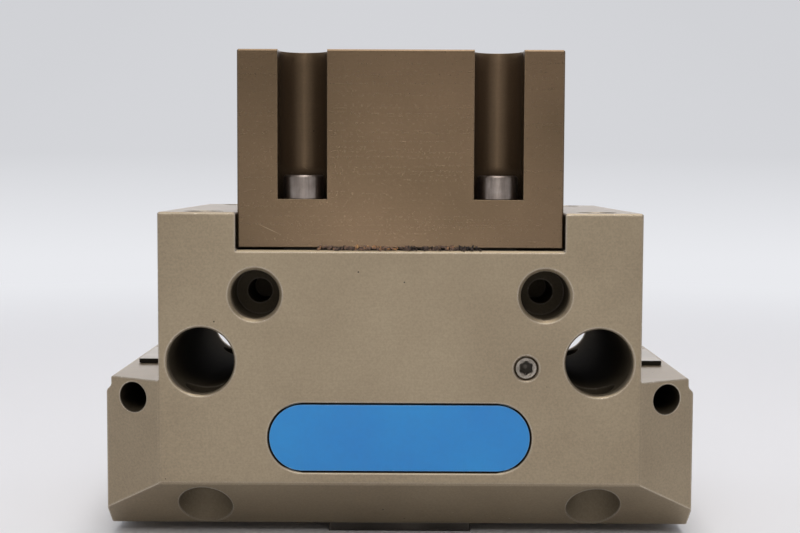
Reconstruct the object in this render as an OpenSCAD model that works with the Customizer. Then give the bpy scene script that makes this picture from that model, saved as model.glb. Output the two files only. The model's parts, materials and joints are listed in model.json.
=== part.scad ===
// Pneumatic parallel gripper with two fingers, driven by a round piston and a wedge hook.
// Frame: millimetres, origin under the centre of the locating tongue, +Z up towards the fingers.
// The jaws travel along Y. The front face looks to -Y. Shown with the jaws open.
// The sub-parts are drawn from the mounting face up, and standing() lifts them onto the tongue.

/* [Body] */
// Width of the upper body
body_w = 100; // [96:1:130]
// Depth of the body along the jaw travel
body_d = 75; // [72:1:100]
// Height from the mounting face to the top of the body
body_h = 68; // [67:1:90]
// Width of the break on the outer edges
edge_break = 0.3; // [0.1:0.1:0.6]
// Depth of the long chamfers along the mounting face
base_chamfer_d = 13; // [6:0.5:13.5]
// Height of the long chamfers along the mounting face
base_chamfer_h = 11.5; // [6:0.5:13]
// Depth of the notch that the fingers sit in
notch_depth = 7.7; // [4:0.1:10]
// Width of the chamfers at both ends of the notch floor
notch_chamfer = 0.5; // [0.2:0.1:0.8]

/* [Side flanges] */
// Reach of each side flange beyond the upper body
flange_reach = 12.5; // [11.5:0.5:18]
// Height of the side flanges
flange_h = 33; // [32.5:0.5:40]
// Angle at which the flange ends run back from the faces
flange_angle = 32; // [15:1:40]
// Step of the upper flange edge
flange_step = 1.2; // [0.4:0.1:2]
// Height of the flange band above the step
flange_band_h = 2; // [1:0.5:4]
// Diameter of the sensor bores
sensor_bore_d = 6.3; // [5:0.1:6.5]
// Distance of the sensor bores from the side of the upper body
sensor_bore_out = 6; // [5:0.1:7]
// Depth of the sensor bore axes below the flange top
sensor_bore_drop = 4; // [3.8:0.1:6]

/* [Mounting holes] */
// Distance of the bolt and cross bore axes from the body sides
bolt_side = 8.7; // [8.2:0.1:12]
// Distance of the bolt axes from the front and rear faces
bolt_end = 7; // [6.2:0.1:9]
// Diameter of the four through bolt holes
bolt_hole_d = 8.4; // [6.4:0.1:9]
// Diameter of the centring recesses in the mounting face
sleeve_recess_d = 11.4; // [9:0.1:12]
// Depth of the centring recesses
sleeve_recess_depth = 12; // [3:0.5:14]
// Diameter of the two bores that cross the body along Y
cross_bore_d = 14; // [10:0.5:14.5]
// Depth of the cross bore axes below the body top
cross_bore_drop = 30.9; // [28:0.1:34]
// Width of the chamfer round the cross bore mouths
cross_bore_chamfer = 0.4; // [0.2:0.1:0.8]
// Diameter of the counterbores in the front and rear faces
side_cbore_d = 10.1; // [8:0.1:10.4]
// Depth of the counterbores
side_cbore_depth = 11; // [4:0.5:11]
// Diameter of the small bores behind the counterbores
side_hole_d = 5.2; // [4:0.1:6]
// Depth of the small bores from the face
side_hole_depth = 25; // [14:0.5:26]
// Depth of the counterbore axes below the body top
side_hole_drop = 17; // [16:0.1:18]
// Wall left between a counterbore and the jaw guide
side_hole_wall = 0.9; // [0.6:0.1:2]
// Width of the chamfer round the counterbore mouths
side_cbore_chamfer = 0.7; // [0.2:0.1:0.8]

/* [Jaw guide] */
// Width of the jaw neck between the guide lips
neck_w = 48; // [38:0.5:50]
// Ledge of the jaw foot under each guide lip
foot_ledge = 7.5; // [5:0.1:8]
// Height of the jaw foot
foot_h = 7.4; // [5:0.1:8]
// Height of the guide lips above the foot
guide_lip_h = 15.2; // [14.8:0.1:16]
// Wall that closes the jaw guide at each end
guide_end_wall = 11; // [8:0.5:12]
// Thin wall in front of the jaw noses
nose_wall = 1.5; // [1:0.1:2]
// Height of the jaw noses that take the outer finger screws
nose_h = 10.8; // [10.6:0.1:12]
// Height by which the jaws stand above the notch floor
jaw_proud = 0.3; // [0.2:0.1:1]
// Running clearance of the jaws in their guide, each side
guide_fit = 0.05; // [0.03:0.01:0.1]
// Clearance at the ends of the jaw guide
guide_end_gap = 0.5; // [0.3:0.1:1]

/* [Fingers] */
// Width of the finger blocks
finger_w = 67.2; // [64:0.2:72]
// Height of the finger blocks
finger_h = 40.8; // [20:0.2:80]
// Gap between the finger blocks with the jaws closed
closed_gap = 1.4; // [0.5:0.1:10]
// Distance of the finger faces behind the body faces
finger_setback = 0.8; // [0.2:0.1:1]
// Side clearance of the fingers in the notch
finger_side_gap = 0.4; // [0.2:0.1:1]
// Diameter of the screw slots in the finger faces
slot_d = 10.2; // [9.4:0.1:12]
// Distance of the slot axes inside the sides of the jaw neck
slot_inset = 3.8; // [3.6:0.1:6]
// Distance of the slot axes behind the finger face
slot_axis_depth = 4.2; // [4:0.1:5]
// Height of the slot floors above the finger foot
slot_floor_h = 10.1; // [6:0.1:10.4]
// Distance of the inner screw row from the gripping face
inner_row = 7.3; // [7:0.1:9]
// Diameter of the wells of the inner screw row
well_d = 9.6; // [9:0.1:11]
// Diameter of the locating sleeves
sleeve_d = 8; // [6:0.5:9]
// Height of the locating sleeves
sleeve_h = 5; // [3:0.5:6]
// Wall of the locating sleeves
sleeve_wall = 1.2; // [0.8:0.1:2]
// Spacing of a finger's two locating sleeves
sleeve_spacing = 28; // [27:0.5:36]

/* [Drive] */
// Travel of each jaw
jaw_stroke = 6; // [3:0.5:7]
// Travel of the piston
piston_stroke = 12; // [9:0.5:13]
// Diameter of the cylinder bore
cylinder_d = 42; // [35:1:43]
// Height of the piston
piston_h = 6.5; // [6:0.1:8]
// Diameter of the piston rod
rod_d = 14; // [12:0.5:15]
// Running clearance of the rod and the seals, each side
rod_fit = 0.03; // [0.02:0.01:0.08]
// Running clearance of the piston, each side
piston_fit = 0.1; // [0.05:0.01:0.15]
// Thickness of the wall between the cylinder and the wedge hook
bulkhead_h = 5.1; // [4.6:0.1:6]
// Width of the wedge hook web
hook_web_w = 11; // [8:0.5:12]
// Width of the wedge hook heads
hook_head_w = 18; // [14:0.5:18.5]
// Thickness of the wedge hook heads along Y
hook_head_t = 3.5; // [2.5:0.1:4]
// Thickness of the jaw lips that the hook heads pull, at the hook's top
hook_lip_t = 2.2; // [1.5:0.1:2.6]
// Clearance of the wedge hook in the jaws, each side
hook_fit = 0.1; // [0.05:0.01:0.15]

/* [Cylinder cover] */
// Thickness of the cover flange
cover_flange_t = 3; // [2:0.1:4]
// Ledge of the cover flange beyond the cylinder bore
cover_ledge = 1.5; // [1:0.1:1.6]
// Height of the cover spigot
cover_spigot_h = 4; // [3.6:0.1:5]
// Section of the cover seal
cover_seal_d = 2; // [1.5:0.1:2.4]
// Thickness of the retaining ring
ring_t = 1.2; // [1:0.1:1.5]
// Height of the retaining ring above the mounting face
ring_z = 0.8; // [0.6:0.1:1]
// Depth of the retaining ring groove
ring_groove = 0.9; // [0.6:0.1:1]

/* [Springs] */
// Wire diameter of the opening springs
spring_wire_d = 1.1; // [0.8:0.1:1.3]
// Outer diameter of the opening springs
spring_d = 7.9; // [6:0.1:8]
// Depth of the spring seats in the cover
spring_seat = 5; // [3:0.1:5]
// Depth of the spring seats in the piston
spring_seat_top = 3; // [1:0.1:3.5]
// Coils of each spring, with one closed coil at each end
spring_turns = 6; // [4:1:7]

/* [Locating tongue] */
// Width of the locating tongue under the mounting face
tongue_w = 31; // [24:0.5:40]
// Length of the locating tongue
tongue_l = 46; // [40:1:48]
// Height of the tongue below the mounting face
tongue_h = 2.2; // [1:0.1:4]

/* [Rating plate] */
// Length of the blank rating plate
plate_l = 54.1; // [30:0.1:58]
// Height of the blank rating plate
plate_h = 13.8; // [8:0.1:14]
// Thickness of the blank rating plate
plate_t = 0.7; // [0.4:0.1:1]
// Gap round the plate in its pocket
plate_gap = 0.2; // [0.1:0.05:0.4]
// Depth of the plate pocket
plate_pocket = 0.8; // [0.7:0.1:1.2]
// Width of the chamfer round the plate pocket
plate_rim = 0.4; // [0.2:0.1:0.5]
// Height of the plate centre above the mounting face
plate_z = 21.2; // [19:0.1:22]

/* [Ports and plugs] */
// Diameter of the tapped air ports in the rear face
port_d = 8.6; // [6:0.1:9]
// Depth of the air ports
port_depth = 9; // [6:0.5:10]
// Distance of the air ports from the middle of the rear face
port_x = 15.5; // [14:0.1:16]
// Height of the lower air port
port_low_z = 17; // [16.5:0.1:18]
// Height of the upper air port
port_high_z = 31; // [30:0.1:32]
// Diameter of the air drillings
drill_d = 3; // [2:0.1:3.2]
// Diameter of the passage plugs
plug_d = 5; // [4:0.5:6]
// Length of the passage plugs
plug_l = 6; // [4:0.5:8]
// Distance of the plugs from the middle of the face
plug_x = 26.2; // [24:0.1:28]
// Depth of the plugs below the body top
plug_drop = 32.1; // [31.5:0.1:33]
// Depth of the drillings behind the plugs
plug_drill_depth = 16; // [8:0.5:18]

/* [Sensor clamps] */
// Length of a clamp plate along Y
clamp_l = 22; // [20:0.5:26]
// Thickness of a clamp plate
clamp_t = 0.9; // [0.6:0.1:1.5]
// Gap under a clamp plate
clamp_gap = 0.1; // [0.05:0.05:0.8]
// Distance of a clamp plate from the flange edge
clamp_inset = 2.2; // [1.4:0.1:2.5]
// Width of the clamp tongue
clamp_tongue_w = 4.8; // [3.5:0.1:5]
// Length of the clamp tongue
clamp_tongue_l = 7; // [4:0.5:7]
// Distance of the clamp screws from the body side
clamp_screw_out = 2.1; // [2.05:0.05:2.3]
// Distance of the clamp screws from the middle of the clamp
clamp_screw_y = 7.5; // [5.6:0.1:8.5]

/* [Hidden] */
$fn = 64;
fine = 96;
coarse = 32;
hex_fn = 6;
cut = 1;

// Screws: thread, head diameter, head height, hex key
m5 = [5, 8.5, 5, 4];
m2 = [2, 3.8, 2, 1.5];
m4 = [4, 7.6, 1.9, 2.5];
m6 = [6, 11.8, 2.9, 4];
screw_l = 20;
clamp_screw_l = 3;
tongue_screw_l = 8;
piston_screw_l = 14;

// Room between parts that stay still, and round the heads and tips of screws
static_fit = 0.02;
sink_room = 0.4;
screw_sink = 0.1;
hole_spare = 0.5;
thread_spare = 0.1;

// Room round the jaws and the drive
nose_gap = 0.2;
jaw_gap = 0.5;
window_spare = 0.25;
hook_room = 0.3;
hook_gap = 0.2;
hook_drop = 1.6;
piston_low_gap = 0.15;
piston_high_gap = 0.2;

// Seals and springs
rod_seal_w = 2.2;
rod_seal_h = 2.5;
piston_seal_w = 2.4;
piston_seal_h = 2.6;
seal_gap = 0.05;
seal_lip = 0.8;
spring_room = 0.5;
coil_space = 1.04;

// Mouths of the ports and plug holes, and the ends of the drillings in the cylinder
port_chamfer = 0.5;
plug_chamfer = 0.3;
port_end = 1;

// Faces of the body
face_y = body_d / 2;
side_x = body_w / 2;
flange_x = side_x + flange_reach;
flange_back = flange_reach * tan(flange_angle);
step_z = flange_h - flange_band_h - flange_step;

// Notch and fingers
notch_w = finger_w + 2 * finger_side_gap;
notch_z = body_h - notch_depth;
jaw_top = notch_z + jaw_proud;
finger_face = face_y - finger_setback;
finger_inner = closed_gap / 2 + jaw_stroke;
slot_x = neck_w / 2 - slot_inset;
slot_y = finger_face - slot_axis_depth;
inner_row_y = finger_inner + inner_row;
sleeve_y = (slot_y + inner_row_y) / 2;
slot_floor_z = jaw_top + slot_floor_h;
screw_tip_z = slot_floor_z - screw_l;
screw_hole_z = screw_tip_z - hole_spare;

// Jaw and its guide
slot_top_z = notch_z - guide_lip_h;
foot_top_z = slot_top_z - guide_fit;
foot_z = foot_top_z - foot_h;
guide_floor_z = foot_z - guide_fit;
foot_w = neck_w + 2 * foot_ledge;
nose_z = jaw_top - nose_h;
nose_pocket_z = nose_z - nose_gap;
nose_y = face_y - nose_wall - nose_gap;
guide_y = face_y - guide_end_wall;
jaw_outer = guide_y - guide_end_gap;
jaw_inner = jaw_stroke + jaw_gap;
window_y = (jaw_outer - jaw_inner) / 2 + window_spare;

// Cylinder stack, from the mounting face up
cover_z = ring_z + ring_t + static_fit;
cylinder_z = cover_z + cover_flange_t;
cover_top = cylinder_z + cover_spigot_h;
piston_z = cover_top + piston_low_gap + piston_stroke;
piston_top = piston_z + piston_h;
bulkhead_z = piston_top + piston_high_gap;
bulkhead_top = bulkhead_z + bulkhead_h;
cylinder_r = cylinder_d / 2;
piston_r = cylinder_r - piston_fit;
piston_edge = 1.5;
recess_r = cylinder_r + cover_ledge;
tongue_seat_r = 2 / 3 * recess_r;
ring_groove_r = recess_r + ring_groove;
rod_r = rod_d / 2;
rod_seal_r = rod_r + rod_seal_w;
rod_seal_z = bulkhead_z + (bulkhead_h - rod_seal_h) / 2;
piston_seal_r = cylinder_r - rod_fit;
piston_groove_r = piston_r - piston_seal_w;
piston_groove_z = piston_z + (piston_h - piston_seal_h) / 2;
cover_groove_z = cylinder_z + (cover_spigot_h - cover_seal_d) / 2;
cover_groove_r = cylinder_r - cover_seal_d;

// Wedge hook, whose faces lean by the ratio of the two travels
wedge = jaw_stroke / piston_stroke;
hook_z = bulkhead_top + hook_gap + piston_stroke;
hook_top = jaw_top - hook_drop;
hook_in = jaw_inner + hook_lip_t;
hook_out = hook_in + hook_head_t;
hook_base = hook_out + wedge * (hook_top - hook_z);
rod_root = 1;
rod_top = hook_z + rod_root;

// Springs, midway between the piston screw's head and the groove of the piston seal
spring_x = (piston_groove_r + m6[1] / 2 + sink_room / 2) / 2;
spring_z = cover_top - spring_seat;
spring_end_z = piston_z + spring_seat_top;
spring_bore_d = spring_d + spring_room;
coil_steps = 16;
wire_sides = 8;

// Holes of the body
bolt_x = side_x - bolt_side;
bolt_y = face_y - bolt_end;
cross_z = body_h - cross_bore_drop;
side_hole_x = neck_w / 2 + guide_fit + side_hole_wall + side_cbore_d / 2;
side_hole_z = body_h - side_hole_drop;
sensor_x = side_x + sensor_bore_out;
sensor_z = flange_h - sensor_bore_drop;
plug_z = body_h - plug_drop;

// Sensor clamps
clamp_side = 0.1;
clamp_z = flange_h + clamp_gap;
clamp_x0 = side_x + clamp_side;
clamp_x1 = flange_x - flange_step - clamp_inset;
clamp_screw_x = side_x + clamp_screw_out;
clamp_tongue_gap = 0.1;

function unit(v) = v / norm(v);

// Diameter of the clearance hole for a screw
function through(size) = 1.1 * size[0];

// Outline with every corner cut back by c along both edges
function broken(pts, c) = [
    for (i = [0:len(pts) - 1])
        let (
            p = pts[i],
            before = pts[(i + len(pts) - 1) % len(pts)],
            after = pts[(i + 1) % len(pts)]
        )
        each [p + c * unit(before - p), p + c * unit(after - p)]
];

// Outline given by its right half, top to bottom, and mirrored in X
function mirrored(pts) = concat(pts, [for (i = [len(pts) - 1:-1:0]) [-pts[i].x, pts[i].y]]);

// Extrude an XZ outline along Y, centred
module along_y(length) {
    rotate([90, 0, 0])
        linear_extrude(length, center = true)
            children();
}

// Extrude a YZ outline along X, centred
module along_x(length) {
    rotate([90, 0, 90])
        linear_extrude(length, center = true)
            children();
}

// Block centred in X and Y that stands on height z
module block(size, z) {
    translate([-size.x / 2, -size.y / 2, z])
        cube(size);
}

// Round hole that starts on the face at y and runs towards the middle
module face_hole(d, depth, y) {
    translate([0, y + cut, 0])
        rotate([90, 0, 0])
            cylinder(d = d, h = depth + cut);
}

// Chamfered mouth of a hole in the face at y
module face_mouth(d, width, y) {
    translate([0, y + cut, 0])
        rotate([90, 0, 0])
            cylinder(d1 = d + 2 * (width + cut), d2 = d, h = width + cut);
}

// Copies at plus and minus x
module pair_x(x) {
    for (side = [-1, 1])
        translate([side * x, 0, 0])
            children();
}

// The children and a copy turned half a turn about the piston axis
module both_faces() {
    for (turn = [0, 180])
        rotate([0, 0, turn])
            children();
}

// Socket head screw: [thread, head diameter, head height, hex key], head seat at z = 0
module socket_screw(size, length) {
    shank_r = size[0] / 2;
    head_r = size[1] / 2;
    head_h = size[2];
    chamfer = shank_r / 6;
    difference() {
        rotate_extrude()
            polygon([
                [0, -length],
                [shank_r - chamfer, -length],
                [shank_r, chamfer - length],
                [shank_r, 0],
                [head_r, 0],
                [head_r, head_h - chamfer],
                [head_r - chamfer, head_h],
                [0, head_h]
            ]);
        translate([0, 0, head_h / 2])
            cylinder(d = size[3] / cos(30), h = head_h, $fn = hex_fn);
    }
}

// Countersunk screw: [thread, head diameter, head height, hex key], head face at z = 0, point up
module flat_screw(size, length) {
    shank_r = size[0] / 2;
    tip = shank_r / 4;
    key_depth = 0.8 * size[2];
    difference() {
        rotate_extrude()
            polygon([
                [0, 0],
                [size[1] / 2, 0],
                [shank_r, size[2]],
                [shank_r, length - tip],
                [shank_r - tip, length],
                [0, length]
            ]);
        translate([0, 0, -cut])
            cylinder(d = size[3] / cos(30), h = key_depth + cut, $fn = hex_fn);
    }
}

// Hole for a countersunk screw, from its head face at z = 0 up
module flat_screw_hole(size, length) {
    translate([0, 0, -cut])
        cylinder(d = through(size), h = length + cut);
    translate([0, 0, -static_fit])
        cylinder(d1 = size[1] + sink_room, d2 = size[0] + sink_room / 2, h = size[2] + screw_sink);
}

// Flat bar with round ends in the XZ plane
module stadium(length, height) {
    square([length - height, height], center = true);
    for (side = [-1, 1])
        translate([side * (length - height) / 2, 0])
            circle(d = height, $fn = fine);
}

module housing_blank() {
    front = mirrored([
        [notch_w / 2, notch_z],
        [notch_w / 2, body_h],
        [side_x, body_h],
        [side_x, flange_h],
        [flange_x - flange_step, flange_h],
        [flange_x - flange_step, step_z + flange_step],
        [flange_x, step_z],
        [flange_x, 0]
    ]);
    plan = mirrored([
        [side_x, face_y],
        [flange_x, face_y - flange_back],
        [flange_x, flange_back - face_y],
        [side_x, -face_y]
    ]);
    side = mirrored([
        [face_y, body_h],
        [face_y, base_chamfer_h],
        [face_y - base_chamfer_d, 0]
    ]);
    intersection() {
        along_y(body_d + cut)
            polygon(broken(front, edge_break));
        linear_extrude(body_h)
            polygon(broken(plan, edge_break));
        along_x(2 * flange_x + cut)
            polygon(broken(side, edge_break));
    }
}

module guide_pocket() {
    neck = neck_w + 2 * guide_fit;
    foot = foot_w + 2 * guide_fit;
    up = notch_z + cut;
    both_faces()
        along_x(notch_w)
            polygon([
                [face_y - notch_chamfer, notch_z],
                [face_y + cut, notch_z - notch_chamfer - cut],
                [face_y + cut, notch_z]
            ]);
    block([neck, 2 * guide_y, up - slot_top_z], slot_top_z);
    block([neck, 2 * (face_y - nose_wall), up - nose_pocket_z], nose_pocket_z);
    block([foot, 2 * guide_y, slot_top_z - guide_floor_z], guide_floor_z);
    block([foot, 2 * window_y, up - guide_floor_z], guide_floor_z);
}

module drive_cavity() {
    slot_w = hook_head_w + 2 * hook_room;
    slot_l = 2 * (hook_base + hook_room);
    block([slot_w, slot_l, guide_floor_z + cut - bulkhead_top], bulkhead_top);
    cylinder(r = rod_r + rod_fit, h = guide_floor_z);
    translate([0, 0, rod_seal_z])
        cylinder(r = rod_seal_r, h = rod_seal_h);
    translate([0, 0, -cut])
        cylinder(r = cylinder_r, h = bulkhead_z + cut, $fn = fine);
    translate([0, 0, -cut])
        cylinder(r = recess_r, h = cylinder_z + cut, $fn = fine);
    translate([0, 0, ring_z])
        cylinder(r = ring_groove_r, h = ring_t + static_fit, $fn = fine);
}

// Tapped air port in the rear face and its slanted drilling down to the cylinder wall
module air_port(x, z, end_z) {
    run = face_y - port_depth;
    wall = sqrt(pow(cylinder_r, 2) - pow(x, 2)) - 2 * cut;
    lean = atan2(z - end_z, run - wall);
    translate([x, 0, z])
        face_hole(port_d, port_depth, face_y);
    translate([x, 0, z])
        face_mouth(port_d, port_chamfer, face_y);
    translate([x, run + cut, z])
        rotate([90 + lean, 0, 0])
            cylinder(d = drill_d, h = (run - wall) / cos(lean));
}

module mounting_holes() {
    pair_x(bolt_x) {
        for (side = [-1, 1])
            translate([0, side * bolt_y, 0]) {
                translate([0, 0, -cut])
                    cylinder(d = bolt_hole_d, h = body_h + 2 * cut);
                translate([0, 0, -cut])
                    cylinder(d = sleeve_recess_d, h = sleeve_recess_depth + cut);
            }
        translate([0, 0, cross_z])
            rotate([90, 0, 0])
                cylinder(d = cross_bore_d, h = body_d + 2 * cut, center = true, $fn = fine);
        translate([0, 0, cross_z])
            both_faces()
                face_mouth(cross_bore_d, cross_bore_chamfer, face_y);
    }
    both_faces()
        pair_x(side_hole_x)
            translate([0, 0, side_hole_z]) {
                face_hole(side_hole_d, side_hole_depth, face_y);
                face_hole(side_cbore_d, side_cbore_depth, face_y);
                face_mouth(side_cbore_d, side_cbore_chamfer, face_y);
            }
}

module plug_holes() {
    both_faces()
        translate([-plug_x, 0, plug_z]) {
            face_hole(plug_d + 2 * static_fit, plug_l + cut, face_y);
            face_mouth(plug_d, plug_chamfer, face_y);
            face_hole(drill_d, plug_drill_depth, face_y);
        }
}

module sensor_seats() {
    window_w = clamp_tongue_w + 2 * clamp_tongue_gap;
    window_l = clamp_tongue_l + 2 * clamp_tongue_gap;
    pair_x(sensor_x) {
        translate([0, 0, sensor_z])
            rotate([90, 0, 0])
                cylinder(d = sensor_bore_d, h = body_d, center = true);
        block([window_w, window_l, sensor_bore_drop + cut], sensor_z);
    }
    pair_x(clamp_screw_x)
        for (side = [-1, 1])
            translate([0, side * clamp_screw_y, clamp_z + clamp_t - clamp_screw_l - thread_spare])
                cylinder(d = m2[0] + 2 * static_fit, h = clamp_screw_l);
}

// Pocket of the rating plate with its chamfered rim, in the front face
module plate_seat() {
    height = plate_h + 2 * plate_gap;
    rim = plate_rim + cut;
    front()
        translate([0, 0, plate_z]) {
            translate([0, face_y + cut, 0])
                rotate([90, 0, 0])
                    linear_extrude(plate_pocket + cut)
                        stadium(plate_l + 2 * plate_gap, height);
            pair_x((plate_l - plate_h) / 2)
                face_mouth(height, plate_rim, face_y);
            along_x(plate_l - plate_h)
                polygon([
                    [face_y - plate_rim, -height / 2],
                    [face_y + cut, -height / 2 - rim],
                    [face_y + cut, height / 2 + rim],
                    [face_y - plate_rim, height / 2]
                ]);
        }
}

module housing() {
    color("#948670")
        difference() {
            housing_blank();
            guide_pocket();
            drive_cavity();
            mounting_holes();
            plug_holes();
            sensor_seats();
            plate_seat();
            air_port(port_x, port_low_z, cover_top + port_end);
            air_port(-port_x, port_high_z, bulkhead_z - port_end);
        }
}

// YZ outline of one leaning hook head, grown by a clearance and run on by extra at both ends
function head_outline(gap, extra) = let (
    low = hook_z - extra,
    high = hook_top + extra,
    shift = wedge * extra
) [
    [hook_in - shift - gap, high],
    [hook_out - shift + gap, high],
    [hook_base + shift + gap, low],
    [hook_base - hook_head_t + shift - gap, low]
];

// Rear half of the hook, used for the web that joins the heads
module hook_web(gap, extra) {
    heads = head_outline(gap, extra);
    polygon([[0, heads[0].y], heads[1], heads[2], [0, heads[2].y]]);
}

module base_jaw() {
    length = jaw_outer - jaw_inner;
    middle = (jaw_outer + jaw_inner) / 2;
    reach = body_h;
    color("#8d8f92")
        difference() {
            union() {
                translate([0, middle, 0])
                    block([neck_w, length, jaw_top - foot_z], foot_z);
                translate([0, middle, 0])
                    block([foot_w, length, foot_h], foot_z);
                translate([0, (nose_y + jaw_outer - cut) / 2, 0])
                    block([neck_w, nose_y - jaw_outer + cut, nose_h], nose_z);
            }
            along_x(hook_web_w + 2 * hook_fit)
                hook_web(hook_fit, reach);
            along_x(hook_head_w + 2 * hook_fit)
                polygon(head_outline(hook_fit, reach));
            // Room for the rod, which stands between the feet until the jaws have come this far
            translate([0, wedge * (rod_top - foot_z), foot_z - cut])
                cylinder(r = rod_r + 2 * hook_fit, h = rod_top - foot_z + 2 * cut);
            finger_screw_places(0)
                translate([0, 0, screw_hole_z])
                    cylinder(d = m5[0] + 2 * static_fit, h = screw_l);
            sleeve_places()
                translate([0, 0, -sleeve_h / 2 - thread_spare])
                    cylinder(d = sleeve_d + 2 * static_fit, h = sleeve_h);
        }
}

// Places of a finger's screws: two in the face slots and two behind the gripping face
module finger_screw_places(z) {
    for (y = [slot_y, inner_row_y])
        translate([0, y, z])
            pair_x(slot_x)
                children();
}

module sleeve_places() {
    translate([0, sleeve_y, jaw_top])
        pair_x(sleeve_spacing / 2)
            children();
}

module finger_block() {
    length = finger_face - finger_inner;
    middle = (finger_face + finger_inner) / 2;
    front = mirrored([[finger_w / 2, jaw_top], [finger_w / 2, jaw_top + finger_h]]);
    plan = mirrored([[finger_w / 2, finger_inner], [finger_w / 2, finger_face]]);
    side = [
        [finger_inner, jaw_top],
        [finger_face, jaw_top],
        [finger_face, jaw_top + finger_h],
        [finger_inner, jaw_top + finger_h]
    ];
    tall = finger_h + cut;
    color("#705e48")
        difference() {
            intersection() {
                along_y(2 * body_d)
                    polygon(broken(front, edge_break));
                linear_extrude(jaw_top + finger_h)
                    polygon(broken(plan, edge_break));
                along_x(finger_w)
                    polygon(broken(side, edge_break));
            }
            translate([0, slot_y, slot_floor_z])
                pair_x(slot_x) {
                    cylinder(d = slot_d, h = tall);
                    translate([-slot_d / 2, 0, 0])
                        cube([slot_d, slot_axis_depth + cut, tall]);
                }
            translate([0, inner_row_y, slot_floor_z])
                pair_x(slot_x)
                    cylinder(d = well_d, h = tall);
            finger_screw_places(jaw_top - cut)
                cylinder(d = through(m5), h = slot_floor_h + 2 * cut);
            sleeve_places()
                translate([0, 0, -cut])
                    cylinder(d = sleeve_d + 2 * static_fit, h = sleeve_h / 2 + thread_spare + cut);
        }
}

module finger_screws() {
    color("#b9bbbd")
        finger_screw_places(slot_floor_z)
            socket_screw(m5, screw_l);
}

module locating_sleeves() {
    color("#a9abad")
        sleeve_places()
            difference() {
                translate([0, 0, -sleeve_h / 2])
                    cylinder(d = sleeve_d, h = sleeve_h);
                translate([0, 0, -sleeve_h])
                    cylinder(d = sleeve_d - 2 * sleeve_wall, h = 2 * sleeve_h);
            }
}

// Wedge hook with its rod: one leaning head on each side of a web
module wedge_hook() {
    screw_bore_h = piston_screw_l - piston_h + 2 * cut;
    color("#9a9c9f")
        difference() {
            union() {
                both_faces() {
                    along_x(hook_web_w)
                        hook_web(0, 0);
                    along_x(hook_head_w)
                        polygon(head_outline(0, 0));
                }
                translate([0, 0, piston_top])
                    cylinder(r = rod_r, h = rod_top - piston_top);
            }
            translate([0, 0, piston_top - cut])
                cylinder(d = m6[0] + 2 * static_fit, h = screw_bore_h + cut);
        }
}

module piston() {
    color("#b0aa9c")
        difference() {
            rotate_extrude($fn = fine)
                polygon([
                    [0, piston_z],
                    [piston_r - piston_edge, piston_z],
                    [piston_r, piston_z + piston_edge],
                    [piston_r, piston_groove_z],
                    [piston_groove_r, piston_groove_z],
                    [piston_groove_r, piston_groove_z + piston_seal_h],
                    [piston_r, piston_groove_z + piston_seal_h],
                    [piston_r, piston_top - piston_edge],
                    [piston_r - piston_edge, piston_top],
                    [0, piston_top]
                ]);
            pair_x(spring_x)
                translate([0, 0, piston_z - cut])
                    cylinder(d = spring_bore_d, h = spring_seat_top + cut);
            translate([0, 0, piston_z])
                flat_screw_hole(m6, piston_h + cut);
        }
}

module piston_seal() {
    low = piston_groove_z + seal_gap;
    high = piston_groove_z + piston_seal_h - seal_gap;
    middle = (low + high) / 2;
    color("#2b2b2d")
        rotate_extrude($fn = fine)
            polygon([
                [piston_groove_r + seal_gap, low],
                [piston_seal_r, low],
                [piston_seal_r - seal_lip, middle],
                [piston_seal_r, high],
                [piston_groove_r + seal_gap, high]
            ]);
}

// Screw that holds the piston on the rod
module piston_screw() {
    color("#8a8c8f")
        translate([0, 0, piston_z + screw_sink])
            flat_screw(m6, piston_screw_l);
}

module rod_seal() {
    low = rod_seal_z + seal_gap;
    high = rod_seal_z + rod_seal_h - seal_gap;
    color("#2b2b2d")
        rotate_extrude()
            polygon([
                [rod_r + rod_fit, low],
                [rod_seal_r - seal_gap, low],
                [rod_seal_r - seal_gap, high],
                [rod_r + seal_lip, high],
                [rod_r + rod_fit, high - seal_lip]
            ]);
}

// Height along a spring after s coils: closed end coils, even pitch between
function coil_z(s, height) = let (
    closed = spring_wire_d * coil_space,
    pitch = (height - spring_wire_d - 2 * closed) / (spring_turns - 2)
) spring_wire_d / 2 + closed * min(s, 1) + pitch * max(0, min(s, spring_turns - 1) - 1)
    + closed * max(0, s - (spring_turns - 1));

module coil_spring(height) {
    mean_r = (spring_d - spring_wire_d) / 2;
    steps = spring_turns * coil_steps;
    points = [
        for (i = [0:steps])
            let (turn = 360 * i / coil_steps, z = coil_z(i / coil_steps, height))
            for (k = [0:wire_sides - 1])
                let (a = 360 * k / wire_sides, r = mean_r + spring_wire_d / 2 * cos(a))
                [r * cos(turn), r * sin(turn), z + spring_wire_d / 2 * sin(a)]
    ];
    sides = [
        for (i = [0:steps - 1], k = [0:wire_sides - 1])
            let (here = i * wire_sides, next = here + wire_sides, k2 = (k + 1) % wire_sides)
            [here + k, here + k2, next + k2, next + k]
    ];
    start = [for (k = [wire_sides - 1:-1:0]) k];
    end = [for (k = [0:wire_sides - 1]) steps * wire_sides + k];
    polyhedron(points, concat(sides, [start, end]), convexity = 10);
}

module opening_springs() {
    color("#77797c")
        pair_x(spring_x)
            translate([0, 0, spring_z])
                coil_spring(spring_end_z - spring_z);
}

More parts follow.
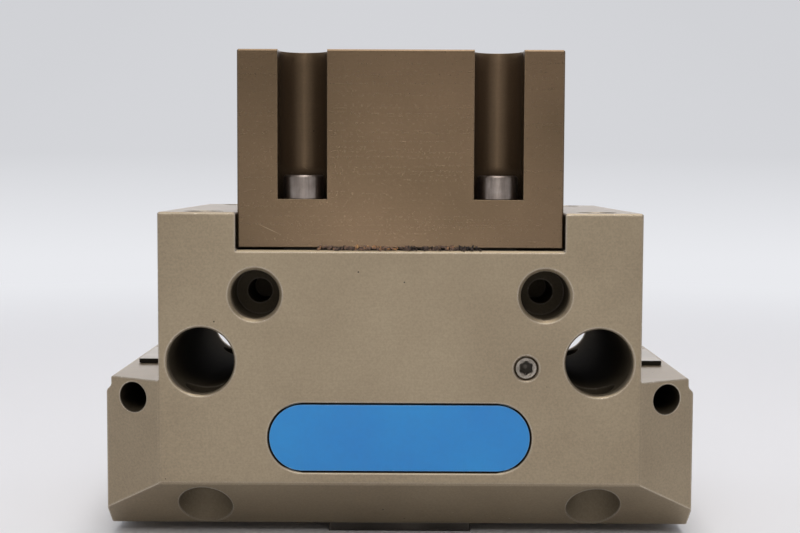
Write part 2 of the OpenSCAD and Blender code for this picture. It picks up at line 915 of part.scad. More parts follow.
module cylinder_cover() {
    slip = 0.05;
    bevel = 0.35;
    tapped = tongue_screw_l - tongue_h - cover_z;
    color("#9b8f7a")
        difference() {
            rotate_extrude($fn = fine)
                polygon([
                    [0, cover_z],
                    [recess_r - slip - bevel, cover_z],
                    [recess_r - slip, cover_z + bevel],
                    [recess_r - slip, cylinder_z],
                    [cylinder_r - slip, cylinder_z],
                    [cylinder_r - slip, cover_groove_z],
                    [cover_groove_r, cover_groove_z],
                    [cover_groove_r, cover_groove_z + cover_seal_d],
                    [cylinder_r - slip, cover_groove_z + cover_seal_d],
                    [cylinder_r - slip, cover_top],
                    [0, cover_top]
                ]);
            pair_x(spring_x)
                translate([0, 0, spring_z])
                    cylinder(d = spring_bore_d, h = spring_seat + cut);
            tongue_screw_places(cover_z - cut)
                cylinder(d = m4[0] + 2 * static_fit, h = tapped + hole_spare + cut);
        }
}

module cover_seal() {
    section = cover_seal_d - 2 * static_fit;
    color("#232325")
        translate([0, 0, cover_groove_z + cover_seal_d / 2])
            rotate_extrude($fn = fine)
                translate([cylinder_r - cover_seal_d / 2, 0])
                    circle(d = section, $fn = coarse);
}

// Internal retaining ring, open at one side, with two eyelets
module cover_retaining_ring() {
    slip = 0.1;
    band_w = 1.6;
    inner_r = recess_r - band_w;
    eye_r = 1.9;
    eye_hole_r = 0.8;
    eye_at = inner_r - 0.4 * eye_r;
    eye_turn = 9;
    gap_turn = 6;
    color("#4a4a4c")
        translate([0, 0, ring_z])
            difference() {
                union() {
                    difference() {
                        cylinder(r = ring_groove_r - slip, h = ring_t, $fn = fine);
                        translate([0, 0, -cut])
                            cylinder(r = inner_r, h = ring_t + 2 * cut, $fn = fine);
                    }
                    for (side = [-1, 1])
                        rotate([0, 0, 90 + side * eye_turn])
                            translate([eye_at, 0, 0])
                                cylinder(r = eye_r, h = ring_t);
                }
                rotate([0, 0, 90])
                    translate([0, 0, -cut])
                        linear_extrude(ring_t + 2 * cut)
                            polygon([
                                [0, 0],
                                [2 * recess_r, -2 * recess_r * tan(gap_turn / 2)],
                                [2 * recess_r, 2 * recess_r * tan(gap_turn / 2)]
                            ]);
                for (side = [-1, 1])
                    rotate([0, 0, 90 + side * eye_turn])
                        translate([eye_at, 0, -cut])
                            cylinder(r = eye_hole_r, h = ring_t + 2 * cut);
            }
}

module tongue_screw_places(z) {
    for (side = [-1, 1])
        translate([0, side * spring_x, z])
            children();
}

// Tongue under the mounting face, screwed to the cover
module locating_tongue() {
    plan = mirrored([[tongue_w / 2, tongue_l / 2], [tongue_w / 2, -tongue_l / 2]]);
    side = mirrored([[tongue_l / 2, -static_fit], [tongue_l / 2, -tongue_h]]);
    color("#3d3b38")
        difference() {
            union() {
                intersection() {
                    translate([0, 0, -tongue_h])
                        linear_extrude(tongue_h)
                            polygon(broken(plan, edge_break));
                    along_x(tongue_w)
                        polygon(broken(side, edge_break));
                }
                translate([0, 0, -tongue_h / 2])
                    cylinder(r = tongue_seat_r, h = cover_z + tongue_h / 2 - static_fit);
            }
            tongue_screw_places(-tongue_h)
                flat_screw_hole(m4, tongue_h + cover_z + cut);
        }
}

module tongue_screws() {
    color("#8a8c8f")
        tongue_screw_places(screw_sink - tongue_h)
            flat_screw(m4, tongue_screw_l);
}

module rating_plate() {
    color("#3b82c4")
        translate([0, -face_y + plate_pocket - static_fit, plate_z])
            rotate([90, 0, 0])
                linear_extrude(plate_t)
                    stadium(plate_l, plate_h);
}

// Headless screws that close the drillings in the front and rear faces
module passage_plugs() {
    hex_key = 2.5;
    sink = 0.4;
    rim = 0.4;
    color("#6f6a60")
        both_faces()
            translate([-plug_x, face_y - sink, plug_z])
                rotate([90, 0, 0])
                    difference() {
                        rotate_extrude()
                            polygon([
                                [0, 0],
                                [plug_d / 2 - rim, 0],
                                [plug_d / 2, rim],
                                [plug_d / 2, plug_l],
                                [0, plug_l]
                            ]);
                        translate([0, 0, -cut])
                            cylinder(d = hex_key / cos(30), h = hex_key + cut, $fn = hex_fn);
                    }
}

// Plate over the flange whose tongue presses on the sensor in its bore
module sensor_clamp() {
    plan = [
        [clamp_x0, -clamp_l / 2],
        [clamp_x1, -clamp_l / 2],
        [clamp_x1, clamp_l / 2],
        [clamp_x0, clamp_l / 2]
    ];
    color("#a79f92")
        difference() {
            union() {
                translate([0, 0, clamp_z])
                    linear_extrude(clamp_t)
                        polygon(broken(plan, edge_break));
                translate([sensor_x, 0, 0])
                    block([clamp_tongue_w, clamp_tongue_l, clamp_z - sensor_z + clamp_t / 2], sensor_z);
            }
            translate([sensor_x, 0, sensor_z])
                rotate([90, 0, 0])
                    cylinder(d = sensor_bore_d, h = clamp_l, center = true);
            translate([clamp_screw_x, 0, clamp_z - cut])
                for (side = [-1, 1])
                    translate([0, side * clamp_screw_y, 0])
                        cylinder(d = through(m2), h = clamp_t + 2 * cut);
        }
}

module sensor_clamp_screws() {
    color("#b9bbbd")
        pair_x(clamp_screw_x)
            for (side = [-1, 1])
                translate([0, side * clamp_screw_y, clamp_z + clamp_t])
                    socket_screw(m2, clamp_screw_l);
}

// Lifts a sub-part from the mounting face's frame onto the height of the tongue
module standing() {
    translate([0, 0, tongue_h])
        children();
}

// Front parts stand on the -Y side and the rear ones on the +Y side
module front() {
    rotate([0, 0, 180])
        children();
}

module front_base_jaw() {
    front()
        base_jaw();
}

module rear_base_jaw() {
    base_jaw();
}

module front_finger_block() {
    front()
        finger_block();
}

module rear_finger_block() {
    finger_block();
}

module front_finger_screws() {
    front()
        finger_screws();
}

module rear_finger_screws() {
    finger_screws();
}

module front_locating_sleeves() {
    front()
        locating_sleeves();
}

module rear_locating_sleeves() {
    locating_sleeves();
}

module left_sensor_clamp() {
    mirror([1, 0, 0])
        sensor_clamp();
}

module right_sensor_clamp() {
    sensor_clamp();
}

standing() housing();
standing() front_base_jaw();
standing() rear_base_jaw();
standing() front_finger_block();
standing() rear_finger_block();
standing() front_finger_screws();
standing() rear_finger_screws();
standing() front_locating_sleeves();
standing() rear_locating_sleeves();
standing() wedge_hook();
standing() piston();
standing() piston_seal();
standing() piston_screw();
standing() rod_seal();
standing() opening_springs();
standing() cylinder_cover();
standing() cover_seal();
standing() cover_retaining_ring();
standing() locating_tongue();
standing() tongue_screws();
standing() rating_plate();
standing() passage_plugs();
standing() left_sensor_clamp();
standing() right_sensor_clamp();
standing() sensor_clamp_screws();
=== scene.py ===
# Looks of a pneumatic parallel gripper with two fingers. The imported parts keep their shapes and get
# their finishes here. The socket screws, the air passage plugs, the opening springs and the dirt
# along the notch floor are made here as meshes.
import json
import math

import bmesh
import bpy
from mathutils import Matrix, Vector


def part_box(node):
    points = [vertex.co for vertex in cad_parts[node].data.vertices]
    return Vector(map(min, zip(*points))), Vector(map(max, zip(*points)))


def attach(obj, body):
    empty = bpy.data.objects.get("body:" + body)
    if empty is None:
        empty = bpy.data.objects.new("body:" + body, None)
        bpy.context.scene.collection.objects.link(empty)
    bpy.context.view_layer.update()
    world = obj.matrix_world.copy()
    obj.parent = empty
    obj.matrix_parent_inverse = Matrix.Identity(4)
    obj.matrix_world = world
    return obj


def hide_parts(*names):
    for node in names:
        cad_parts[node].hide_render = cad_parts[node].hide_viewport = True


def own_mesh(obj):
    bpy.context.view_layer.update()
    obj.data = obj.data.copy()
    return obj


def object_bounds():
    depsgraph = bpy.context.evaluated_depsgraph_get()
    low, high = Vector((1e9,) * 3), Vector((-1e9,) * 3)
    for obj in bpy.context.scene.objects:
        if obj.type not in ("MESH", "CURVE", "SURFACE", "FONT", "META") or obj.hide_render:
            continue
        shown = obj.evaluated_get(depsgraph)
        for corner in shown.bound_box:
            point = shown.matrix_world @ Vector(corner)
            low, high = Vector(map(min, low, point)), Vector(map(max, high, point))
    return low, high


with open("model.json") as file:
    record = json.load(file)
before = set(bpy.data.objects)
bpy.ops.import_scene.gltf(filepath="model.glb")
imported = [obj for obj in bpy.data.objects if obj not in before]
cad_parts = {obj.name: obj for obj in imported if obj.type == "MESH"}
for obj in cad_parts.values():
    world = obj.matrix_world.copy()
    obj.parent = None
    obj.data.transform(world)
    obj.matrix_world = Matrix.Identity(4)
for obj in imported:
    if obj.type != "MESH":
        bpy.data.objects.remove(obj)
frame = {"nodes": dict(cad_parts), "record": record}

CAD_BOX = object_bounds()
MM = 0.001
NODES = frame["nodes"]
SLOTS = {name: node.data.materials[0].name for name, node in NODES.items()}


def linear(colour):
    """The linear RGBA of an sRGB hex colour."""
    parts = [int(colour[i:i + 2], 16) / 255 for i in (1, 3, 5)]
    return (*[p / 12.92 if p <= 0.04045 else ((p + 0.055) / 1.055) ** 2.4 for p in parts], 1)


def add(tree, kind, settings=None, inputs=None):
    """Adds one node with its settings. An input is a value, or the socket that feeds it."""
    node = tree.nodes.new(kind)
    for name, value in (settings or {}).items():
        setattr(node, name, value)
    for key, value in (inputs or {}).items():
        if isinstance(value, bpy.types.NodeSocket):
            tree.links.new(value, node.inputs[key])
        else:
            node.inputs[key].default_value = value
    return node


# ---------------------------------------------------------------- finishes

# The span in which nearly all values of a noise lie
NOISE_LOW, NOISE_HIGH = 0.32, 0.68


def drifted(tree, where, light, dark, size):
    """A slow drift between two shades of one finish, over patches of the given size."""
    patches = add(tree, "ShaderNodeTexNoise", inputs={
        "Vector": where, "Scale": 1 / (size * MM), "Detail": 3, "Roughness": 0.5})
    share = add(tree, "ShaderNodeMapRange", inputs={
        "Value": patches.outputs["Fac"], "From Min": 0.36, "From Max": 0.64})
    return add(tree, "ShaderNodeMix", {"data_type": "RGBA"}, {
        0: share.outputs["Result"], 6: linear(dark), 7: linear(light)}).outputs[2]


def worn_and_highlit_edges(tree, where, rounded, cover):
    """How far an edge is lightened: a painted highlight a little all along it, and 1 in its nicks of real
    wear. cover sets their share.
    """
    face = add(tree, "ShaderNodeNewGeometry")
    turn = add(tree, "ShaderNodeVectorMath", {"operation": "DOT_PRODUCT"}, {
        0: rounded.outputs["Normal"], 1: face.outputs["Normal"]})
    edge = add(tree, "ShaderNodeMapRange", inputs={
        "Value": turn.outputs["Value"], "From Min": 0.995, "From Max": 0.93})
    # The second number is a painted highlight: the share of the light edge colour laid all along every
    # edge, nick or not
    nick_size, edge_highlight = 1.3 * MM, 0.45
    chips = add(tree, "ShaderNodeTexNoise", inputs={
        "Vector": where, "Scale": 1 / nick_size, "Detail": 3, "Roughness": 0.7})
    limit = 0.72 - 0.3 * cover
    chipped = add(tree, "ShaderNodeMapRange", inputs={
        "Value": chips.outputs["Fac"], "From Min": limit, "From Max": limit + 0.05, "To Min": edge_highlight})
    return add(tree, "ShaderNodeMath", {"operation": "MULTIPLY"}, {
        0: edge.outputs["Result"], 1: chipped.outputs["Result"]}).outputs[0]


def pitted(tree, where, spacing, size):
    """Small dark pores, one in each third cell of the given spacing: 1 inside a pore."""
    cells = add(tree, "ShaderNodeTexVoronoi", inputs={"Vector": where, "Scale": 1 / (spacing * MM)})
    inside = add(tree, "ShaderNodeMapRange", inputs={
        "Value": cells.outputs["Distance"], "From Min": size / spacing, "From Max": 0.5 * size / spacing})
    pick = add(tree, "ShaderNodeSeparateColor", inputs={"Color": cells.outputs["Color"]})
    third = add(tree, "ShaderNodeMath", {"operation": "LESS_THAN"}, {0: pick.outputs["Red"], 1: 0.33})
    return add(tree, "ShaderNodeMath", {"operation": "MULTIPLY"}, {
        0: inside.outputs["Result"], 1: third.outputs[0]}).outputs[0]


def scratched(tree, where, turn, run, width, spacing):
    """Short fine scratches that all lean by turn degrees: 1 in a scratch."""
    leaning = add(tree, "ShaderNodeMapping", {"vector_type": "TEXTURE"}, {
        "Vector": where, "Rotation": (0, math.radians(turn), 0), "Scale": (run / width, 1, 1)})
    return pitted(tree, leaning.outputs["Vector"], spacing, width)


def painted_hollow_shade(tree, where, hollows):
    """How far painted shade darkens a spot: its hollow's share down inside, and 0 on every other surface.

    hollows lists (centre, half sizes, axis, share, fade). A hollow is an elliptic cylinder along one
    axis, numbered 0 to 2, whose mouths clear over the length fade. Each also stands for its mirror
    images in X and Y.
    """
    folded = add(tree, "ShaderNodeVectorMath", {"operation": "ABSOLUTE"}, {0: where}).outputs["Vector"]
    depth = None
    for centre, half, axis, share, fade in hollows:
        offset = add(tree, "ShaderNodeVectorMath", {"operation": "SUBTRACT"}, {
            0: folded, 1: centre}).outputs[0]
        aside = add(tree, "ShaderNodeVectorMath", {"operation": "MULTIPLY"}, {
            0: offset, 1: [0 if i == axis else 1 / size for i, size in enumerate(half)]})
        reach = add(tree, "ShaderNodeVectorMath", {"operation": "LENGTH"}, {0: aside.outputs[0]})
        inside = add(tree, "ShaderNodeMath", {"operation": "LESS_THAN"}, {
            0: reach.outputs["Value"], 1: 1})
        along = add(tree, "ShaderNodeVectorMath", {"operation": "DOT_PRODUCT"}, {
            0: offset, 1: [1 if i == axis else 0 for i in range(3)]})
        travel = add(tree, "ShaderNodeMath", {"operation": "ABSOLUTE"}, {0: along.outputs["Value"]})
        sunk = add(tree, "ShaderNodeMapRange", inputs={
            "Value": travel.outputs[0], "From Min": half[axis], "From Max": half[axis] - fade,
            "To Min": 0, "To Max": share})
        here = add(tree, "ShaderNodeMath", {"operation": "MULTIPLY"}, {
            0: inside.outputs[0], 1: sunk.outputs["Result"]}).outputs[0]
        depth = here if depth is None else add(tree, "ShaderNodeMath", {"operation": "MAXIMUM"}, {
            0: depth, 1: here}).outputs[0]
    return depth


def finish(name, light, dark, roughness, grain, relief, metallic=1.0, patch=24, mottle=0.08,
           tool=None, pores=None, scratches=None, worn_and_highlit=None, hollows=None):
    """One worked surface.

    light and dark are the two shades that it drifts between, over patches of patch millimetres.
    roughness gives the roughness of its smooth and its matt spots. grain is the size of its finest
    mottle, relief that mottle's height and mottle the share by which it lightens and darkens. tool is
    (marks, strength): the size in millimetres of its tool marks along X, Y and Z, and the share by
    which they show. pores is (spacing, size), scratches is (lean, length, width, spacing, colour),
    worn is (width, cover, edge colour) of its rounded edges: the edge colour fills the nicks of real
    wear, and as a painted highlight it lightens every edge all along. hollows are its bores and gaps,
    darkened inside with painted shade.
    """
    material = bpy.data.materials.new(name)
    material.use_nodes = True
    tree = material.node_tree
    shader = tree.nodes["Principled BSDF"]
    where = add(tree, "ShaderNodeTexCoord").outputs["Object"]
    colour = drifted(tree, where, light, dark, patch)
    fine = add(tree, "ShaderNodeTexNoise", inputs={
        "Vector": where, "Scale": 1 / (grain * MM), "Detail": 2, "Roughness": 0.65}).outputs["Fac"]
    height = fine
    shade = add(tree, "ShaderNodeMapRange", inputs={
        "Value": fine, "From Min": NOISE_LOW, "From Max": NOISE_HIGH,
        "To Min": 1 - mottle, "To Max": 1 + mottle})
    colour = add(tree, "ShaderNodeVectorMath", {"operation": "SCALE"}, {
        0: colour, "Scale": shade.outputs["Result"]}).outputs["Vector"]
    if tool:
        marks, strength = tool
        along = add(tree, "ShaderNodeVectorMath", {"operation": "DIVIDE"}, {
            0: where, 1: [size * MM for size in marks]})
        lines = add(tree, "ShaderNodeTexNoise", inputs={
            "Vector": along.outputs["Vector"], "Scale": 1, "Detail": 3, "Roughness": 0.6}).outputs["Fac"]
        shade = add(tree, "ShaderNodeMapRange", inputs={
            "Value": lines, "From Min": NOISE_LOW, "From Max": NOISE_HIGH,
            "To Min": 1 - strength, "To Max": 1 + strength})
        colour = add(tree, "ShaderNodeVectorMath", {"operation": "SCALE"}, {
            0: colour, "Scale": shade.outputs["Result"]}).outputs["Vector"]
        height = add(tree, "ShaderNodeMath", {"operation": "ADD"}, {0: fine, 1: lines}).outputs[0]
    matt = add(tree, "ShaderNodeMapRange", inputs={
        "Value": height, "From Min": 0.6 if tool else 0.3, "From Max": 1.4 if tool else 0.7,
        "To Min": roughness[0], "To Max": roughness[1]}).outputs["Result"]
    if pores:
        pore = pitted(tree, where, *pores)
        colour = add(tree, "ShaderNodeMix", {"data_type": "RGBA"}, {
            0: pore, 6: colour, 7: linear("#2a241e")}).outputs[2]
        height = add(tree, "ShaderNodeMath", {"operation": "SUBTRACT"}, {0: height, 1: pore}).outputs[0]
    if scratches:
        scratch = scratched(tree, where, *scratches[:4])
        colour = add(tree, "ShaderNodeMix", {"data_type": "RGBA"}, {
            0: scratch, 6: colour, 7: linear(scratches[4])}).outputs[2]
    shader.inputs["Metallic"].default_value = metallic
    bump = add(tree, "ShaderNodeBump", inputs={"Height": height, "Distance": relief * MM, "Strength": 1})
    # Edges take the light edge colour: real wear in their nicks, and a painted highlight all along them
    if worn_and_highlit:
        width, cover, bare_and_highlight = worn_and_highlit
        rounded = add(tree, "ShaderNodeBevel", {"samples": 6}, {"Radius": width * MM})
        rubbed_and_highlit = worn_and_highlit_edges(tree, where, rounded, cover)
        colour = add(tree, "ShaderNodeMix", {"data_type": "RGBA"}, {
            0: rubbed_and_highlit, 6: colour, 7: linear(bare_and_highlight)}).outputs[2]
        bare_roughness = 0.32
        matt = add(tree, "ShaderNodeMix", {"data_type": "FLOAT"}, {
            0: rubbed_and_highlit, 2: matt, 3: bare_roughness}).outputs[0]
        tree.links.new(rounded.outputs["Normal"], bump.inputs["Normal"])
    # Painted shade: inside its hollows the colour darkens towards black, the surface turns matt and the
    # metal loses its sheen
    if hollows:
        depth = painted_hollow_shade(tree, where, hollows)
        painted_shade_colour, hollow_roughness = 0.05, 0.8
        left = add(tree, "ShaderNodeMapRange", inputs={"Value": depth, "To Min": 1, "To Max": painted_shade_colour})
        colour = add(tree, "ShaderNodeVectorMath", {"operation": "SCALE"}, {
            0: colour, "Scale": left.outputs["Result"]}).outputs["Vector"]
        matt = add(tree, "ShaderNodeMix", {"data_type": "FLOAT"}, {
            0: depth, 2: matt, 3: hollow_roughness}).outputs[0]
        metal_share = add(tree, "ShaderNodeMapRange", inputs={
            "Value": depth, "To Min": metallic, "To Max": 0})
        tree.links.new(metal_share.outputs["Result"], shader.inputs["Metallic"])
        shader.inputs["Specular IOR Level"].default_value = 0
    tree.links.new(colour, shader.inputs["Base Color"])
    tree.links.new(matt, shader.inputs["Roughness"])
    tree.links.new(bump.outputs["Normal"], shader.inputs["Normal"])
    return material


# How far a hollow's painted shade reaches past its wall, and over what length it clears towards the mouth
BORE_SPARE = 0.1 * MM
BORE_FADE = 2.5 * MM
# Height of the gap between the notch floor and the fingers
NOTCH_GAP = 0.3 * MM


def housing_hollows():
    """The housing's bores, from the record's mounts, the plate's recess and the notch floor, darkened
    inside with painted shade.
    """
    mounts = {mount["name"]: mount for mount in frame["record"]["mounts"]}
    face_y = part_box("housing")[1].y
    counterbore_d, recess_h = 10.1 * MM, 12 * MM
    side = mounts["side_mount_front"]
    along_y = [(side["dims"]["spacing_x_mm"] / 2 * MM, side["pos_m"][2], counterbore_d / 2, 0.8 * MM)]
    for name in ("cross_bore_right", "sensor_bore_right", "air_port_low", "air_port_high"):
        x, _, z = mounts[name]["pos_m"]
        along_y.append((abs(x), z, mounts[name]["dims"]["r_mm"] * MM, 0.5 * MM))
    # Shares of painted shade deep in a bore and in the open centring recesses
    deep, open_recess = 0.8, 0.45
    hollows = [((x, 0, z), (r + BORE_SPARE, face_y - mouth, r + BORE_SPARE), 1, deep, BORE_FADE)
               for x, z, r, mouth in along_y]
    recess, bolt = mounts["centring_recesses"], mounts["mounting_bolts"]
    corner = (recess["dims"]["spacing_x_mm"] / 2 * MM, recess["dims"]["spacing_y_mm"] / 2 * MM)
    top_z = bolt["pos_m"][2]
    for middle_z, half_h, r, share in (
            (recess["pos_m"][2], recess_h + BORE_FADE, recess["dims"]["hole_r_mm"] * MM, open_recess),
            (top_z / 2, top_z / 2 - 0.5 * MM, bolt["dims"]["hole_r_mm"] * MM, deep)):
        hollows.append((
            (*corner, middle_z), (r + BORE_SPARE, r + BORE_SPARE, half_h), 2, share, BORE_FADE))
    # Painted shade round the rating plate's recess
    low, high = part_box("rating_plate")
    hollows.append(((0, 0, (low.z + high.z) / 2), (
        high.x * 1.15, face_y - BORE_SPARE, (high.z - low.z) * 0.7), 1, 1, BORE_SPARE))
    # Painted shade on the notch floor in the gap under the fingers
    low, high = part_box("rear_finger_block")
    hollows.append(((0, (low.y + high.y) / 2, low.z - NOTCH_GAP), (
        high.x * 1.1, (high.y - low.y) / 2 + 2 * NOTCH_GAP, NOTCH_GAP / 2), 0, 1, NOTCH_GAP))
    return hollows


def screw_wells():
    """The screw wells in the fingers: painted shade, faint all the way down and darker round each head.
    """
    low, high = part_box("rear_finger_screws")
    head_r, head_h, well_r = 4.25 * MM, 5 * MM, 5.1 * MM
    seat_z, top_z = high.z - head_h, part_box("rear_finger_block")[1].z
    # grease and film are shares of painted shade: round each head, and down the whole well
    grease, film, head_shade_half_h = 0.6, 0.14, 0.75 * head_h
    wells = []
    for y in (low.y + head_r, high.y - head_r):
        for middle_z, half_h, share in (
                (seat_z + head_shade_half_h, head_shade_half_h, grease),
                ((seat_z + top_z) / 2, (top_z - seat_z) / 2, film)):
            wells.append(((high.x - head_r, y, middle_z), (well_r, well_r, half_h), 2, share, BORE_FADE))
    return wells


def clamp_ends():
    """The front and rear ends of the clamps, darkened with painted shade."""
    low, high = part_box("right_sensor_clamp")
    plate_h = 0.9 * MM
    return [(((low.x + high.x) / 2, high.y, high.z - plate_h / 2), (
        (high.x - low.x) / 2 + 2 * BORE_SPARE, plate_h * 0.7, plate_h * 0.7), 0, 1, BORE_SPARE)]


def plug_keys():
    """The key holes of the air passage plugs, darkened with painted shade from just under their lips."""
    low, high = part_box("passage_plugs")
    plug_r, key_r, key_h, lip = 2.5 * MM, 1.4 * MM, 3 * MM, 0.1 * MM
    return [((high.x - plug_r, high.y - lip - key_h / 2, (low.z + high.z) / 2), (
        key_r, key_h / 2, key_r), 1, 0.6, 2 * lip)]


def jaw_necks():
    """The narrow band of each base jaw that shows between the notch floor and the finger, darkened with
    painted shade.
    """
    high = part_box("rear_base_jaw")[1]
    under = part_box("rear_finger_block")[0].z
    band, reach = 0.6 * MM, 4 * MM
    return [((0, high.y, under), (high.x + BORE_FADE, reach, band), 0, 0.85, BORE_FADE / 2)]


FINISHES = {
    # Milled, fine-blasted and hard anodised: a warm grey-brown satin with a fine even mottle, faint
    # milling lines along the width, a few pores, bright metal where knocks have broken the skin, a
    # painted highlight along every edge and painted shade inside its bores and gaps
    "hard_anodised_aluminium": finish(
        "hard_anodised_aluminium", "#9d8f79", "#948671", (0.36, 0.48), 0.45, 0.012, metallic=0.9,
        mottle=0.1, tool=((30, 0.5, 0.3), 0.03), pores=(5, 0.22), scratches=(25, 3, 0.1, 2.2, "#c4b7a2"),
        worn_and_highlit=(0.6, 0.35, "#e8ddcf"), hollows=housing_hollows()),
    # The same process on finer milled bar: a darker, smoother bronze brown, with lines from the cutter, a
    # painted highlight along its edges and painted shade down its screw wells
    "bronze_anodised_aluminium": finish(
        "bronze_anodised_aluminium", "#6e5c49", "#635341", (0.25, 0.35), 0.4, 0.008, metallic=0.92,
        patch=30, mottle=0.06, tool=((40, 0.4, 0.22), 0.045), pores=(5, 0.2),
        scratches=(25, 3.5, 0.1, 1.6, "#93826c"), worn_and_highlit=(0.14, 0.3, "#a8967c"), hollows=screw_wells()),
    # Hardened and ground tool steel under a thin film of oil: dark grey with fine lines along the travel,
    # a painted highlight along its edges, and painted shade on the band between the notch floor and the
    # finger
    "hardened_steel": finish(
        "hardened_steel", "#8c8c8d", "#767574", (0.26, 0.4), 0.5, 0.004, patch=14, mottle=0.05,
        tool=((0.16, 14, 0.16), 0.07), worn_and_highlit=(0.3, 0.3, "#c4c3c0"), hollows=jaw_necks()),
    # Ground steel: lighter, with shorter lines
    "ground_steel": finish(
        "ground_steel", "#a9a9aa", "#949494", (0.22, 0.34), 0.4, 0.003, patch=9, mottle=0.05,
        tool=((0.3, 0.3, 0.12), 0.06)),
    # Polished screw steel: bright, with faint turning marks round the head
    "bright_screw_steel": finish(
        "bright_screw_steel", "#9b918b", "#857b75", (0.32, 0.42), 0.5, 0.0008, patch=3, mottle=0.04,
        tool=((0.4, 0.4, 6), 0.16)),
    # Plain grub screws that have gone dull: grey, with painted shade in the key hole
    "plug_steel": finish(
        "plug_steel", "#a29b92", "#857e75", (0.26, 0.4), 0.3, 0.006, patch=3, mottle=0.1,
        hollows=plug_keys()),
    # Phosphated spring steel: nearly black and satin
    "spring_steel": finish(
        "spring_steel", "#5a5a5c", "#48484a", (0.32, 0.46), 0.3, 0.004, patch=4, mottle=0.08),
    # Turned and anodised aluminium: pale taupe with close turning lines
    "turned_aluminium": finish(
        "turned_aluminium", "#a89c86", "#978b77", (0.32, 0.44), 0.35, 0.005, patch=18, mottle=0.05,
        tool=((0.3, 0.3, 0.2), 0.05), worn_and_highlit=(0.3, 0.3, "#d4ccbf")),
    # Thin anodised plate, paler than the body, with painted shade on its front and rear ends
    "clamp_aluminium": finish(
        "clamp_aluminium", "#b0a798", "#9f9687", (0.36, 0.48), 0.35, 0.006, patch=8, mottle=0.06,
        tool=((14, 0.3, 0.3), 0.04), hollows=clamp_ends()),
    # Blackened steel: near black with a brown cast
    "dark_steel": finish(
        "dark_steel", "#45413d", "#34312e", (0.34, 0.5), 0.45, 0.006, patch=12, mottle=0.08,
        tool=((20, 0.35, 0.35), 0.05), worn_and_highlit=(0.35, 0.4, "#8e8a85")),
    # Moulded nitrile rubber: black, satin, a little greyed
    "seal_rubber": finish(
        "seal_rubber", "#2b2b2c", "#222223", (0.46, 0.6), 0.3, 0.006, metallic=0, patch=6, mottle=0.08),
    # Satin blue enamel on a blank aluminium plate: even colour with a slight orange peel and dulled
    # spots, and a painted highlight along its edges
    "blue_plate": finish(
        "blue_plate", "#1c88d0", "#1a80cb", (0.34, 0.46), 0.9, 0.004, metallic=0, patch=20, mottle=0.02,
        pores=(9, 0.15), worn_and_highlit=(0.3, 0.45, "#8fb6d6")),
}
for name, node in NODES.items():
    node.material_slots[0].material = FINISHES[SLOTS[name]]


# ---------------------------------------------------------------- pieces made here

def lathe(name, rings, sides, key):
    """A closed turned mesh with a hexagonal key hole.

    rings run from the middle of the key hole out to the rim and down to the tip: (radius, height, True
    where the ring is the hexagon). The radius of a hexagonal ring is half its width across flats.
    """
    mesh = bmesh.new()
    loops = []
    for radius, height, hexagonal in rings:
        loop = []
        for i in range(sides):
            turn = 2 * math.pi * i / sides
            flat = (turn + key) % (math.pi / 3) - math.pi / 6
            reach = radius / math.cos(flat) if hexagonal else radius
            loop.append(mesh.verts.new((reach * math.cos(turn), reach * math.sin(turn), height)))
        loops.append(loop)
    for upper, lower in zip(loops, loops[1:]):
        for i in range(sides):
            j = (i + 1) % sides
            mesh.faces.new((upper[i], upper[j], lower[j], lower[i]))
    for loop in (loops[0], loops[-1]):
        middle = mesh.verts.new((0, 0, loop[0].co.z))
        for i in range(sides):
            mesh.faces.new((loop[i], loop[(i + 1) % sides], middle))
    bmesh.ops.recalc_face_normals(mesh, faces=mesh.faces)
    data = bpy.data.meshes.new(name)
    mesh.to_mesh(data)
    mesh.free()
    return data


def socket_screw(name, thread, head_d, head_h, hex_key, length, pitch, rim):
    """A socket head screw with its seat at z = 0: rounded rim, broached key hole and ridged thread."""
    head_r, thread_r = head_d / 2, thread / 2
    depth = thread / 2
    rings = [
        (hex_key * 0.15, head_h - depth - hex_key * 0.2, False),
        (hex_key / 2, head_h - depth, True),
        (hex_key / 2, head_h - 0.12 * hex_key, True),
        (hex_key * 0.64, head_h, False),
    ]
    for step in range(5):
        turn = math.pi / 2 * step / 4
        rings.append((head_r - rim + rim * math.sin(turn), head_h - rim + rim * math.cos(turn), False))
    rings += [(head_r, 0.15, False), (head_r - 0.15, 0, False), (thread_r + 0.05, 0, False)]
    plain = -length * 0.1
    rings.append((thread_r, plain, False))
    for ridge in range(int((length * 0.86) / pitch)):
        top = plain - ridge * pitch
        rings += [
            (thread_r, top - 0.1 * pitch, False), (thread_r - 0.55 * pitch, top - 0.55 * pitch, False)]
    rings += [
        (thread_r - 0.2 * pitch, -length + 0.3 * pitch, False), (thread_r - 0.7 * pitch, -length, False)]
    scaled = [(radius * MM, height * MM, hexagonal) for radius, height, hexagonal in rings]
    return lathe(name, scaled, 48, math.pi / 6)


def set_screw(name, thread, hex_key, length, pitch, rim):
    """A set screw with its flat end at z = 0: broached key hole, chamfered rim and ridged thread."""
    thread_r, depth = thread / 2, hex_key
    rings = [
        (hex_key * 0.15, -depth - hex_key * 0.2, False),
        (hex_key / 2, -depth, True),
        (hex_key / 2, -0.08 * hex_key, True),
        (hex_key * 0.62, 0, False),
        (thread_r - rim, 0, False),
    ]
    for ridge in range(int((length - rim) / pitch)):
        top = -rim - ridge * pitch
        rings += [(thread_r, top, False), (thread_r - 0.5 * pitch, top - 0.5 * pitch, False)]
    rings.append((thread_r - pitch, -length, False))
    scaled = [(radius * MM, height * MM, hexagonal) for radius, height, hexagonal in rings]
    return lathe(name, scaled, 48, math.pi / 6)


